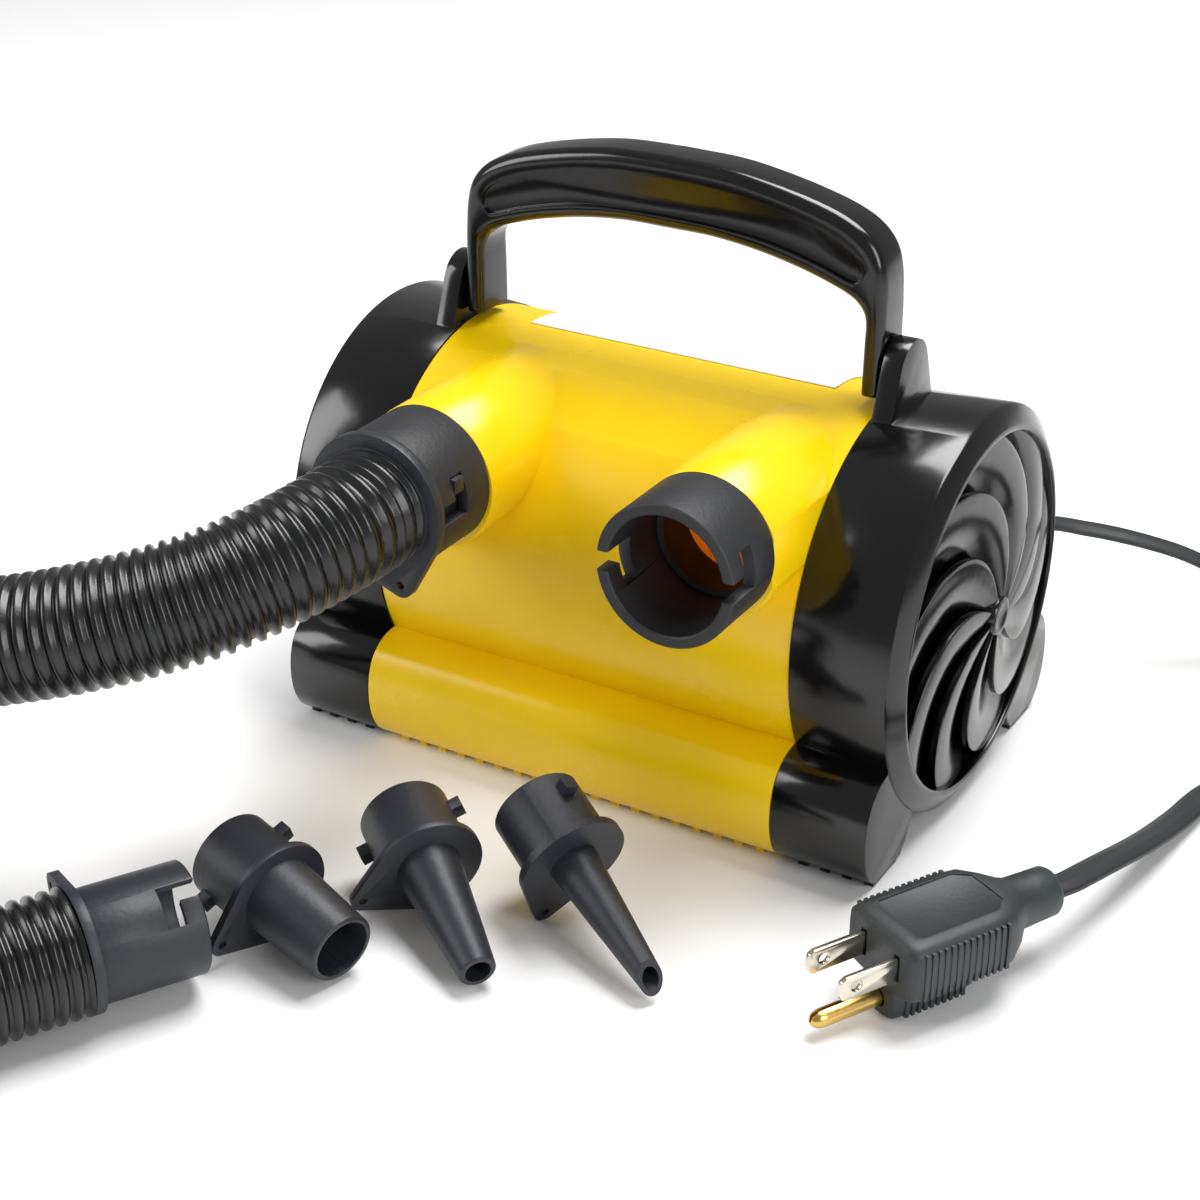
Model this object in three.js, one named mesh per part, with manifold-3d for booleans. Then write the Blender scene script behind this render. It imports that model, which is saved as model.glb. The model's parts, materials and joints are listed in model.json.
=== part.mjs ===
// Electric air mattress pump: a yellow barrel between two black louvred end caps, with a folding
// carry handle, two bayonet air ports, a corrugated hose, three loose nozzles and a mains lead.
// Millimetres, +Z up. X runs along the barrel, the air ports face -Y, the floor is z = 0.
import * as THREE from 'three';
import { mergeVertices } from 'three/addons/utils/BufferGeometryUtils.js';
import Module from 'manifold-3d';

const wasm = await Module();
wasm.setup();

// Driving dimensions
const gap = 0.3; // air between pieces that meet
const axisZ = 57.4; // barrel axis above the floor
const shellR = 54; // yellow barrel, outside
const shellHalf = 63.4; // half the yellow barrel's length
const wall = 2.8; // moulded wall thickness
const capR = 56; // black cap, outside at its outer end
const capEnd = 91; // where the cap's side meets its chamfer
const capFace = 94.3; // flat lip of the cap
const lipR = 49; // mouth of the louvre
const hubX = 99.4; // face of the louvre's hub
const petalCount = 9;
const footY = 48; // centre of a foot lobe, in front of and behind the axis
const ribPitch = 12.7; // tread ribs under the feet
const portZ = 93; // air port axis
const portX = { right: 45, left: -37.5 };
const collarR = 19.05; // 1.5 inch port collar
const collarBore = 15.85;
const collarBase = 65.6; // the collar stands out from here ...
const collarEnd = 86.9; // ... to here, measured towards -Y
const pivotZ = 122; // handle pivot
const legX = [58, 63.6]; // inner and outer face of a handle leg
const handleDepth = 15;
const hoseR = 16; // outside of the 32 mm hose
const cuffR = 14.3; // far end cuff
const spigotR = 11.8; // nozzle spigot that fits the cuff
const cordR = 4.1; // flat lead, half its width
const bladeHeight = 6.35; // mains plug blade, a fixed standard size
const bladePitch = 12.7;

const rad = THREE.MathUtils.degToRad;
const colours = {
  yellow: 0xf7d51d, black: 0x101214, softBlack: 0x2b2c30, nozzle: 0x34353d, lead: 0x1c2022,
  plug: 0x2c3234, nickel: 0xc9c7bf, brass: 0xb99b5a, steel: 0x9a9da0, copper: 0xb0683a,
  paper: 0xe9e9e6, amber: 0xf0a020, white: 0xdedcd4, iron: 0x55585c, carbon: 0x242424,
};
const pump = new THREE.Group();
pump.name = 'air_mattress_pump';

// A closed three.js geometry becomes a solid: seams merged, slivers dropped, faces turned outwards.
function toSolid(geometry) {
  const bare = geometry.clone();
  bare.deleteAttribute('normal');
  if (bare.attributes.uv) bare.deleteAttribute('uv');
  const merged = mergeVertices(bare, 1e-3);
  const position = merged.attributes.position.array;
  const source = merged.index.array;
  const corners = [];
  let volume = 0;
  const a = new THREE.Vector3(), b = new THREE.Vector3(), c = new THREE.Vector3();
  for (let i = 0; i < source.length; i += 3) {
    const [p, q, r] = [source[i], source[i + 1], source[i + 2]];
    if (p === q || q === r || r === p) continue;
    corners.push(p, q, r);
    volume += a.fromArray(position, 3 * p).dot(
      b.fromArray(position, 3 * q).cross(c.fromArray(position, 3 * r)));
  }
  if (volume < 0) corners.reverse();
  return new wasm.Manifold(new wasm.Mesh({
    numProp: 3, vertProperties: new Float32Array(position), triVerts: new Uint32Array(corners),
  }));
}

// Adds one named piece from a solid.
function piece(name, solid, colour, roughness = 0.4, metalness = 0) {
  const mesh = solid.getMesh();
  const geometry = new THREE.BufferGeometry();
  geometry.setAttribute('position', new THREE.BufferAttribute(mesh.vertProperties, 3));
  geometry.setIndex(new THREE.BufferAttribute(mesh.triVerts, 1));
  geometry.computeVertexNormals();
  const material = new THREE.MeshStandardMaterial({ color: colours[colour], roughness, metalness });
  const node = new THREE.Mesh(geometry, material);
  node.name = name;
  pump.add(node);
  return solid;
}

const union = (...solids) => solids.flat().reduce((sum, next) => sum.add(next));
const cut = (base, ...tools) => tools.flat().reduce((rest, tool) => rest.subtract(tool), base);

function box(x0, x1, y0, y1, z0, z1) {
  const g = new THREE.BoxGeometry(x1 - x0, y1 - y0, z1 - z0);
  return toSolid(g.translate((x0 + x1) / 2, (y0 + y1) / 2, (z0 + z1) / 2));
}

// Turns the local +Y of a lathe onto a named direction.
const turnOnto = {
  x: new THREE.Matrix4().makeRotationZ(-Math.PI / 2),
  front: new THREE.Matrix4().makeRotationZ(Math.PI),
  back: new THREE.Matrix4(),
  z: new THREE.Matrix4().makeRotationX(Math.PI / 2),
};

// Revolves [radius, distance] corners about an axis through (x, y, z); the outline closes itself.
function turned(corners, direction, [x, y, z], segments = 24) {
  const outline = [...corners, corners[0]].map(([r, s]) => new THREE.Vector2(r, s));
  const g = new THREE.LatheGeometry(outline, segments).applyMatrix4(turnOnto[direction]);
  return toSolid(g.translate(x, y, z));
}

const rod = (r, from, to, direction, at, segments = 16) =>
  turned([[0, from], [r, from], [r, to], [0, to]], direction, at, segments);
const ring = (rIn, rOut, from, to, direction, at, segments = 24) =>
  turned([[rIn, from], [rOut, from], [rOut, to], [rIn, to]], direction, at, segments);

// Columns of the frame that an outline is drawn in and extruded along.
const drawIn = {
  yz: new THREE.Matrix4().makeBasis(
    new THREE.Vector3(0, 1, 0), new THREE.Vector3(0, 0, 1), new THREE.Vector3(1, 0, 0)),
  xz: new THREE.Matrix4().makeBasis(
    new THREE.Vector3(1, 0, 0), new THREE.Vector3(0, 0, 1), new THREE.Vector3(0, -1, 0)),
  xy: new THREE.Matrix4(),
};

// Extrudes an outline drawn in a plane; 'xz' outlines run from their start towards -Y.
function prism(plane, outline, start, depth, holes = []) {
  const shape = Array.isArray(outline)
    ? new THREE.Shape(outline.map(([u, v]) => new THREE.Vector2(u, v))) : outline;
  shape.holes.push(...holes);
  const g = new THREE.ExtrudeGeometry(shape, { depth, bevelEnabled: false, curveSegments: 12 });
  g.translate(0, 0, start).applyMatrix4(drawIn[plane]);
  return toSolid(g);
}

// A circle as straight runs, finer the larger it is.
function circlePath(u, v, r, Kind = THREE.Path) {
  const count = r < 2.5 ? 6 : r < 12 ? 12 : r < 35 ? 24 : 36;
  return new Kind(Array.from({ length: count }, (_, i) => new THREE.Vector2(
    u + r * Math.cos((2 * Math.PI * i) / count), v + r * Math.sin((2 * Math.PI * i) / count))));
}

// A round tube along a smooth curve through the given points, with flat ends.
function tube(points, r, sides, steps) {
  const curve = new THREE.CatmullRomCurve3(points.map((p) => new THREE.Vector3(...p)), false,
    'centripetal');
  const section = new THREE.Shape();
  for (let i = 0; i < sides; i++) {
    const t = (2 * Math.PI * i) / sides;
    section[i ? 'lineTo' : 'moveTo'](r * Math.cos(t), r * Math.sin(t));
  }
  return toSolid(new THREE.ExtrudeGeometry(section, { steps, extrudePath: curve }));
}

const mirrored = (solid) => solid.rotate([0, 0, 180]); // the same moulding, turned end for end

// ---------------------------------------------------------------- barrel and end caps
// Foot lobe section, front side: y and z. It leaves the barrel at the crease and ends flat.
const lobe = [[-36, 34], [-47, 32.6], [-52, 32], [-56, 30.4], [-59.4, 27.2], [-61.4, 22.4],
  [-62, 16.4], [-61.2, 10.6], [-59.2, 6], [-56.6, 3], [-54, 1.6], [-38.6, 1.6], [-35.6, 4.6],
  [-32, 12]];
const lobeBack = lobe.map(([y, z]) => [-y, z]).reverse();

// Tread ribs across each foot, from one x to another, on the pitch that puts a rib at x = 0.
function treads(x0, x1) {
  const ribs = [];
  for (let i = Math.ceil((x0 + 1.5) / ribPitch); i * ribPitch <= x1 - 1.5; i++) {
    const x = i * ribPitch;
    for (const side of [-1, 1]) {
      const ys = [side * 54, side * 39.5].sort((p, q) => p - q);
      ribs.push(box(x - 1.2, x + 1.2, ys[0], ys[1], 0, 2.4));
    }
  }
  return ribs;
}

function makeShell() {
  const outside = union(
    rod(shellR, -shellHalf, shellHalf, 'x', [0, 0, axisZ], 44),
    prism('yz', lobe, -shellHalf, 2 * shellHalf),
    prism('yz', lobeBack, -shellHalf, 2 * shellHalf),
    Object.values(portX).map((x) => turned(
      [[0, 4], [17, 4], [18.6, 12], [19.8, 30], [20, collarBase - gap], [0, collarBase - gap]],
      'front', [x, 0, portZ - 1], 24)),
    treads(-shellHalf, shellHalf), box(-12, 12, 48, 57, axisZ - 10, axisZ + 10));
  const bore = rod(shellR - wall, -80, 80, 'x', [0, 0, axisZ], 36);
  const ports = Object.values(portX).map((x) => rod(17.8, 24, 80, 'front', [x, 0, portZ], 24));
  const ribs = [0, 90, 180, 270].map((angle) => box(-46, -20, 30.4, 52, -1.4, 1.4)
    .rotate([angle, 0, 0]).translate([0, 0, axisZ]));
  const switchSlot = box(-7.4, 7.4, 40, 60, axisZ - 6.6, axisZ + 6.6);
  const skin = cut(outside, bore, ports, switchSlot);
  const ends = box(-shellHalf, shellHalf, -90, 90, -10, 130);
  piece('shell', union(skin, ribs).intersect(ends), 'yellow', 0.25);
}

// A closed slab between two surfaces given as functions of (u, v), each 0 to 1.
function slab(top, bottom, nu, nv) {
  const position = [];
  const index = [];
  for (const face of [top, bottom]) {
    for (let i = 0; i <= nu; i++) {
      for (let j = 0; j <= nv; j++) position.push(...face(i / nu, j / nv));
    }
  }
  const half = (nu + 1) * (nv + 1);
  const at = (i, j) => i * (nv + 1) + j;
  for (let i = 0; i < nu; i++) {
    for (let j = 0; j < nv; j++) {
      const [a, b, c, d] = [at(i, j), at(i + 1, j), at(i + 1, j + 1), at(i, j + 1)];
      index.push(a, b, c, a, c, d, half + a, half + c, half + b, half + a, half + d, half + c);
    }
  }
  const side = (a, b) => index.push(a, half + a, half + b, a, half + b, b);
  for (let i = 0; i < nu; i++) {
    side(at(i, 0), at(i + 1, 0));
    side(at(i + 1, nv), at(i, nv));
  }
  for (let j = 0; j < nv; j++) {
    side(at(nu, j), at(nu, j + 1));
    side(at(0, j + 1), at(0, j));
  }
  const g = new THREE.BufferGeometry();
  g.setAttribute('position', new THREE.Float32BufferAttribute(position, 3));
  g.setIndex(index);
  return toSolid(g);
}

// One louvre petal: a spiral crest from hub to rim, sloping down until it passes under the next.
const crestX = (r) => 93.2 + 5.4 * (1 - (r / lipR) ** 2);
const crestDrop = (r) => 1 + 4.4 * Math.min(1, r / 30);
const spiral = (r) => rad(110 + 56 * Math.max(0, (r - 8) / 42) ** 1.8);
function petal(k) {
  const face = (lower) => (u, v) => {
    const r = 4 + u * (lipR + 0.8 - 4);
    const angle = spiral(r) + rad((360 / petalCount) * (k + v));
    const x = crestX(r) - crestDrop(r) * v - lower;
    return [x, r * Math.cos(angle), axisZ + r * Math.sin(angle)];
  };
  return slab(face(0), face(1.8), 5, 2);
}

function capSolid() {
  const body = turned([[shellR + 0.4, shellHalf + gap], [capR, capEnd], [50.6, capFace],
    [lipR, capFace], [lipR, 84.6], [53.2, 84.6], [51.8, shellHalf + gap]],
  'x', [0, 0, axisZ], 44);
  const start = shellHalf + gap;
  const inner = rod(51.9, start - 5, 84.7, 'x', [0, 0, axisZ], 44);
  const feet = [lobe, lobeBack].map((side) => cut(
    prism('yz', side, start, capEnd - start), inner,
    rod(49.5, 80, 95, 'x', [0, 0, axisZ], 44)));
  const lug = cut(prism('yz', [[-14.5, 106], [-8, 124], [-5.6, 127.4], [-2, 129.2], [2, 129.2],
    [5.6, 127.4], [8, 124], [14.5, 106]], start + 0.6, 5.6), inner);
  const petals = Array.from({ length: petalCount }, (_, k) => petal(k));
  const hub = turned([[0, 92], [5.6, 92], [5.6, hubX - 0.5], [4.9, hubX], [0, hubX - 0.4]], 'x',
    [0, 0, axisZ], 12);
  return cut(union(body, feet, lug, petals, hub, treads(start, capEnd)),
    rod(2.1, 60, 75, 'x', [0, 0, pivotZ], 10));
}

function makeCaps() {
  const cap = capSolid();
  piece('cap_left', mirrored(cap), 'black', 0.2);
  piece('cap_right', cut(cap, rod(4.6, 40, 70, 'back', [77, 0, leadZ], 20)), 'black', 0.2);
}

// ---------------------------------------------------------------- carry handle
// Front outline of the handle, right half: outside going down, then inside going up.
function makeHandle() {
  const outer = [[3, 168.4], [16, 168], [28, 166.4], [40, 163.9], [50, 161.2], [56, 159],
    [60, 156], [62.6, 151.6], [legX[1], 146], [legX[1], 110]];
  const inner = [[legX[0], 110], [legX[0], 134], [57, 137.2], [54, 139.6], [48, 141.9],
    [38, 144.8], [26, 147.2], [13, 148.6]];
  const half = [...outer, ...inner];
  const front = [...half, ...half.map(([x, z]) => [-x, z]).reverse()];
  const bow = new THREE.Shape(front.map(([x, z]) => new THREE.Vector2(x, z)));
  const side = new THREE.Shape();
  const w = handleDepth / 2;
  side.moveTo(-w, pivotZ - 2);
  side.absarc(0, pivotZ - 1, w + 0.3, Math.PI + 0.13, 2 * Math.PI - 0.13, false);
  for (const [y, z] of [[w, 158], [w - 0.8, 162], [w - 2.6, 165.6], [w - 5, 168], [0, 169],
    [5 - w, 168], [2.6 - w, 165.6], [0.8 - w, 162], [-w, 158]]) side.lineTo(y, z);
  const recess = (y) => prism('xz', [[-55, 143.4], [-44, 147.2], [-26, 151], [0, 152.4],
    [26, 151], [44, 147.2], [55, 143.4], [57.6, 144.6], [58, 147.6], [56, 151.4], [44, 157.4],
    [26, 161.6], [0, 163], [-26, 161.6], [-44, 157.4], [-56, 151.4], [-58, 147.6],
    [-57.6, 144.6]], y, 4);
  const body = cut(prism('xz', bow, -w, handleDepth).intersect(prism('yz', side, -66, 132)),
    recess(w - 3), recess(-w - 1), rod(2.1, -70, 70, 'x', [0, 0, pivotZ], 10));
  piece('handle', body, 'black', 0.25);
  const pin = rod(1.7, legX[0] + 0.3, 69.4, 'x', [0, 0, pivotZ], 10);
  piece('handle_pin_right', pin, 'steel', 0.3, 0.9);
  piece('handle_pin_left', mirrored(pin), 'steel', 0.3, 0.9);
}

// ---------------------------------------------------------------- air ports
// Bayonet slot through both walls of a socket: a mouth on the rim, then a leg to one side.
// Local z is along the slot's leg, s runs from the rim inwards, and the other side is turned 180.
function bayonetCut(rim, width, depth, leg, reach) {
  const w = width / 2;
  const outline = [[rim + 2, -w], [rim + 2, w], [rim - depth, w], [rim - depth, leg],
    [rim - depth - width, leg], [rim - depth - width, -w]];
  // drawn as (s, z) and extruded along +x
  const shape = outline.map(([s, z]) => [-s, z]);
  const side = prism('yz', shape, reach[0], reach[1] - reach[0]);
  return [side, side.rotate([0, 180, 0])];
}

function makePorts() {
  const collar = cut(
    turned([[14.2, 50], [17.5, 50], [17.5, collarBase], [collarR, collarBase],
      [collarR, collarEnd], [collarBore, collarEnd], [collarBore, 62], [14.2, 62]],
    'front', [0, 0, 0], 28),
    bayonetCut(collarEnd, 5.2, 6, 8.4, [11, 21]));
  for (const [name, x] of Object.entries(portX)) {
    piece(`port_collar_${name}`, collar.translate([x, 0, portZ]), 'softBlack', 0.6);
    const fins = [-8.4, -2.8, 2.8, 8.4].map((u) => box(u - 0.9, u + 0.9, -47.4, -40,
      -Math.sqrt(16.2 ** 2 - u * u), Math.sqrt(16.2 ** 2 - u * u)));
    const guard = union(ring(15.4, 17.4, 40, 49.4, 'front', [0, 0, 0], 20), fins);
    piece(`port_guard_${name}`, guard.translate([x, 0, portZ]), 'amber', 0.35);
  }
}

// ---------------------------------------------------------------- label and switch
function makeLabel() {
  const arc = (r, from, to) => Array.from({ length: 9 }, (_, i) => {
    const t = rad(from + ((to - from) * i) / 8);
    return [r * Math.sin(t), axisZ + r * Math.cos(t)];
  });
  piece('label', prism('yz', [...arc(shellR + 0.35, 0, 24), ...arc(shellR + 0.65, 24, 0)],
    -46.5, 94.5), 'paper', 0.5);
}

function makeSwitch() {
  const frame = cut(box(-8, 8, 57.3, 59.3, axisZ - 7.2, axisZ + 7.2).add(
    box(-7.1, 7.1, 44, 57.4, axisZ - 6.3, axisZ + 6.3)),
  box(-5.8, 5.8, 46, 62, axisZ - 5.1, axisZ + 5.1));
  piece('switch_frame', frame, 'black', 0.3);
  const rocker = prism('yz', [[54, axisZ - 3.6], [58.6, axisZ - 4.3], [58.2, axisZ],
    [60.2, axisZ + 4.1], [54, axisZ + 3.6]], -5.5, 11);
  piece('switch_rocker', rocker, 'black', 0.25);
}

// ---------------------------------------------------------------- bayonet fittings
// Teardrop finger flange: a disc whose rim runs out to a rounded, drilled tip; axis along +Y.
function flange(discR, tipAt, tipR, thick, holeR, tipAngle) {
  const touch = Math.acos((discR - tipR) / tipAt);
  const shape = new THREE.Shape();
  shape.absarc(0, 0, discR, touch, 2 * Math.PI - touch, false);
  shape.absarc(tipAt, 0, tipR, -touch, touch, false);
  const plate = prism('xz', shape, 0, thick);
  const drilled = cut(plate, rod(holeR, -1, thick + 1, 'front', [tipAt, 0, 0], 14));
  return drilled.rotate([0, -tipAngle, 0]);
}

function makeHoseEnds() {
  const male = turned([[12.6, 66], [15.4, 66], [15.4, 87.2], [16.6, 87.3], [16.6, 91], [12.6, 91]],
    'front', [0, 0, 0], 24);
  const tab = cut(flange(20, 21.5, 3.6, 3, 1.1, -70).translate([0, -87.4, 0]),
    rod(14, 80, 95, 'front', [0, 0, 0], 24));
  const pegs = [0, 180].map((turn) => box(14.4, 18.6, -80.6, -76.6, 4, 8)
    .rotate([0, turn, 0]));
  piece('hose_coupling', union(male, tab, pegs).translate([portX.left, 0, portZ]),
    'black', 0.35);
}

// Far end of the hose, drawn with its mouth at the origin facing -Y and its hose towards +Y.
const cuff = { mouth: [-37, -173, 17.4], heading: 150 }; // degrees, -Y turned towards +X
function makeCuff() {
  const sleeve = cut(ring(12.2, cuffR, -26, 0, 'front', [0, 0, 0], 24),
    bayonetCut(0, 4.6, 5, 8, [8, 17]).map((slot) => slot.rotate([0, -117, 0])));
  const tab = cut(flange(16, 17.6, 3.2, 2.6, 1, 35).translate([0, 26.6, 0]),
    rod(12.2, -40, -20, 'front', [0, 0, 0], 24));
  piece('hose_cuff', union(sleeve, tab).rotate([0, 0, cuff.heading])
    .translate(cuff.mouth), 'nozzle', 0.55);
}

// ---------------------------------------------------------------- hose
// From the left port it leaves level, bends left, settles on the floor, turns and comes back.
function makeHose() {
  const start = [portX.left, -91 - gap, portZ];
  const back = rad(cuff.heading);
  const behind = (d) => [cuff.mouth[0] - d * Math.sin(back), cuff.mouth[1] + d * Math.cos(back)];
  const floorZ = hoseR + 0.3;
  const path = [start, [portX.left, -97, portZ], [-38.6, -107, 92.4], [-45, -124, 89], [-58, -141, 83.6],
    [-80, -158, 77.5], [-112, -174, 70], [-154, -190, 56], [-198, -210, 39],
    [-238, -240, 24.5], [-264, -282, 17.2], [-272, -330, floorZ], [-252, -372, floorZ],
    [-212, -393, floorZ], [-168, -388, floorZ], [-134, -358, floorZ], [-112, -318, floorZ],
    [-97, -280, floorZ],
    [...behind(88), floorZ + 0.2], [...behind(56), 17], [...behind(29.2 + gap), 17.4]];
  piece('hose', tube(path, hoseR, 8, 36), 'black', 0.3);
}

// ---------------------------------------------------------------- nozzles
// Each nozzle is drawn pointing -Y with its flange at the origin, then laid on the floor.
function nozzle(name, outline, bore, tipCut, [x, y], heading, dip, tipAngle) {
  const body = turned([[0, -18], [spigotR, -18], [spigotR, 0.4], ...outline], 'front',
    [0, 0, 0], 20);
  const collar = flange(14.4, 18.4, 3.2, 2.2, 1.1, tipAngle);
  const pegs = [0, 180].map((turn) => box(10.8, 14.6, 10, 13.6, -1.9, 1.9)
    .rotate([0, turn - tipAngle, 0]));
  let solid = cut(union(body, collar, pegs), turned([[0, -19], [spigotR - 1.8, -19], ...bore],
    'front', [0, 0, 0], 16));
  if (tipCut) solid = cut(solid, tipCut);
  const laid = solid.rotate([dip, 0, 0]).rotate([0, 0, heading]).translate([x, y, 0]);
  piece(name, laid.translate([0, 0, -laid.boundingBox().min[2]]), 'nozzle', 0.5);
}

function makeNozzles() {
  nozzle('nozzle_wide', [[10.4, 0.4], [9, 27], [0, 27]], [[8.6, 0], [7.6, 28], [0, 28]], null,
    [-29, -151], 75, 8.6, 203);
  nozzle('nozzle_taper', [[8.6, 0.4], [4.7, 39], [0, 39]], [[6.9, 0], [3.2, 40], [0, 40]], null,
    [-3.7, -121], 53, 12.4, 202);
  const slant = box(-10, 10, -20, 6, -10, 10).rotate([-42, 0, 0]).translate([0, -42.5, 6.5]);
  nozzle('nozzle_fine', [[6.6, 0.4], [6.2, 5], [3, 45], [0, 45]],
    [[5, 0], [4.8, 5], [1.8, 46], [0, 46]], slant, [31, -108], 62, 20, 255);
}

// ---------------------------------------------------------------- mains lead
const plugAt = { face: [113.2, -102], heading: 242 }; // the blades point this way from +X
const coilAt = [222, 92];
const leadZ = 48; // where the lead leaves the back of the right cap
function makeLead() {
  const relief = cut(union(
    turned([[0, 50], [4.3, 50], [4.3, 55.9], [6.4, 55.9], [6.4, 58.6], [5.6, 58.6], [5, 72],
      [0, 72]], 'back', [77, 0, leadZ], 18)),
  rod(4.0, 66, 80, 'back', [77, 0, leadZ], 14));
  piece('strain_relief', relief, 'softBlack', 0.6);
  piece('cord_upper', tube([[77, 66 + gap, leadZ], [77.6, 76, 47.4], [84, 87, 44], [102, 98, 40],
    [118, 108, 36], [136, 118, 25], [150, 127, 12], [163, 132, 5.4], [176, 133.4, 4.4]],
  cordR - 0.4, 8, 20), 'lead', 0.5);
  piece('cord_coil', turned([[34, 0.4], [57, 0.4], [57, 5.4], [54, 15], [37, 15], [34, 5.4]],
    'z', [...coilAt, 0], 32), 'lead', 0.5);
  const a = rad(plugAt.heading);
  const neck = (d) => [plugAt.face[0] - d * Math.cos(a), plugAt.face[1] - d * Math.sin(a)];
  piece('cord_lower', tube([[171.6, 56.6, 4.2], [161, 50, 4.2], [151.6, 36, 4.7], [148.6, 12, 5.6],
    [146.6, -12, 9], [143.6, -34, 14], [...neck(56), 16.7], [...neck(52.4), 17]],
  cordR - 0.4, 8, 18), 'lead', 0.5);
}

// The plug, drawn with its face at x = 0 and its blades along +X, earth pin underneath.
function makePlug() {
  const place = (solid) => solid.rotate([0, 0, plugAt.heading])
    .translate([...plugAt.face, 0]);
  const gripOutline = [[-37, 9.2], [-34, 8.6], [-2, 8.6], [0, 9], [0, 25], [-2, 25.4],
    [-34, 25.4], [-37, 24.8]];
  const block = prism('xz', gripOutline, -13.4, 26.8);
  const taper = prism('xy', [[0, -12.6], [0, 12.6], [-3, 13.4], [-30, 13.4], [-37, 9.6],
    [-37, -9.6], [-30, -13.4], [-3, -13.4]], 0, 30);
  const earthLobe = prism('xz', [[0, 0.2], [-20, 0.2], [-24, 2], [-29, 9], [0, 9]], -7, 14);
  const neckPart = rod(6.8, -52, -36.5, 'x', [0, 0, 17], 24);
  const recess = box(-32, -5, -9, 9, 24.6, 27);
  const sockets = [-1, 1].map((side) => box(-8, 2, side * 6.35 - 1.1, side * 6.35 + 1.1,
    13.4, 20.6));
  piece('plug_body', place(cut(union(block.intersect(taper), earthLobe, neckPart), recess,
    sockets, rod(2.7, -8, 2, 'x', [0, 0, 5.1], 16))), 'plug', 0.5);
  for (const [name, side] of [['blade_line', 1], ['blade_neutral', -1]]) {
    const y = (side * bladePitch) / 2;
    const zc = 17;
    const outline = [[-7, zc - 3.2], [15, zc - 3.2], [16.6, zc - 1.8], [16.6, zc + 1.8],
      [15, zc + bladeHeight / 2], [-7, zc + bladeHeight / 2]];
    piece(name, place(prism('xz', outline, -y - 0.75, 1.5, [circlePath(12, zc, 1.6)])),
      'nickel', 0.3, 1);
  }
  piece('earth_pin', place(turned([[0, -7], [2.38, -7], [2.38, 17], [1.6, 19.2], [0, 19.8]], 'x',
    [0, 0, 5.1], 16)), 'brass', 0.3, 1);
}

// ---------------------------------------------------------------- motor and blower
const onAxis = [0, 0, axisZ];
function spokeHoles(count, at, r) {
  return Array.from({ length: count }, (_, i) => {
    const t = (2 * Math.PI * (i + 0.5)) / count;
    return circlePath(at * Math.cos(t), at * Math.sin(t), r);
  });
}

// A disc with holes, on the barrel axis.
function disc(outer, holes, x0, x1) {
  return prism('yz', circlePath(0, 0, outer, THREE.Shape), x0, x1 - x0, holes).translate(onAxis);
}

function makeRotor() {
  piece('motor_shaft', rod(3, -79, 47, 'x', onAxis, 20), 'steel', 0.25, 1);
  const teeth = new THREE.Shape();
  const count = 12;
  for (let i = 0; i < count; i++) {
    const t = (2 * Math.PI * i) / count;
    for (const [r, w] of [[16.8, -0.2], [16.8, 0.2], [10.5, 0.1], [10.5, 0.42]]) {
      const a = t + w;
      teeth[i || w !== -0.2 ? 'lineTo' : 'moveTo'](r * Math.cos(a), r * Math.sin(a));
    }
  }
  piece('armature_core', prism('yz', teeth, -48, 30, [circlePath(0, 0, 3.3)])
    .translate(onAxis), 'iron', 0.4, 0.8);
  const winding = [[6, 0], [13.4, 0], [15.4, 1.6], [14.2, 4.4], [8, 5], [6, 3.4]];
  piece('armature_winding_rear', turned(winding.map(([r, s]) => [r, -17.7 + s]), 'x', onAxis, 18),
    'copper', 0.35, 0.8);
  piece('armature_winding_front', turned(winding.map(([r, s]) => [r, -48.3 - s]), 'x', onAxis,
    18), 'copper', 0.35, 0.8);
  piece('commutator', ring(3.3, 9, -11.5, -1.5, 'x', onAxis, 24), 'copper', 0.3, 1);
  const blades = Array.from({ length: 7 }, (_, i) => {
    const edge = (thick) => Array.from({ length: 4 }, (_, j) => {
      const r = 9 + (j / 3) * 28;
      const t = thick / r - ((j / 3) ** 1.2) * 0.9;
      return [r * Math.cos(t), r * Math.sin(t)];
    });
    return prism('yz', [...edge(0), ...edge(1.8).reverse()], 21, 15.4).rotate([(360 * i) / 7, 0, 0]);
  });
  const hub = ring(3.4, 9.6, 21, 40, 'x', [0, 0, 0], 14);
  const back = ring(3.4, 38, 36, 38.4, 'x', [0, 0, 0], 28);
  piece('impeller', union(hub, back, blades).translate(onAxis), 'white', 0.45);
  piece('impeller_nut', cut(disc(5.6, [], 40.3, 44), rod(3.3, 35, 50, 'x', onAxis, 20)), 'steel',
    0.3, 1);
  const fanBlades = Array.from({ length: 6 }, (_, i) => slab(
    (u, v) => [-68.6 - 7 * v, 7 + 31 * u, 9 * (v - 0.5)],
    (u, v) => [-70.2 - 7 * v, 7 + 31 * u, 9 * (v - 0.5) + 0.2], 1, 2).rotate([60 * i, 0, 0]));
  piece('cooling_fan', union(ring(3.3, 9, -78, -68, 'x', [0, 0, 0], 24), fanBlades)
    .translate(onAxis), 'white', 0.45);
}

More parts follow.
